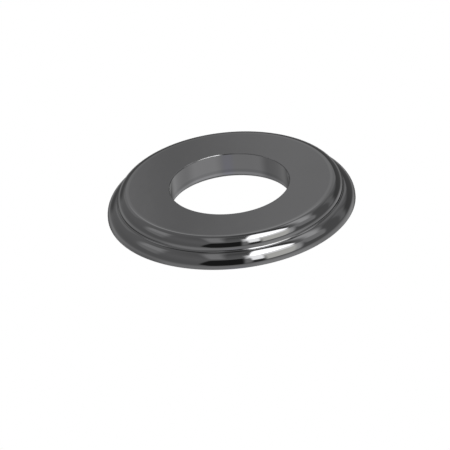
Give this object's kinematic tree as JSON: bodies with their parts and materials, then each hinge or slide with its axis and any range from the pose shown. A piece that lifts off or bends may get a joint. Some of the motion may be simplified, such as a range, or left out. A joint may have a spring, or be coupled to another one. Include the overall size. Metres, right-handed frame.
{
  "type": "shower arm flange",
  "caption": "Low round flange with a stepped, rounded side, a flat front and a plain bore. It slides along a shower arm and covers the hole in the wall.",
  "frame": {"origin": "centre of the bore in the plane of the wall, which is the lowest plane of the ring", "axes": "+Z along the bore, from the wall into the room; the ring is round, so X and Y are free"},
  "size_m": [0.045, 0.045, 0.0049],
  "materials": {
    "flange": "polished black nickel plate"
  },
  "bodies": {
    "root": {"flange": "flange"}
  },
  "joints": []
}
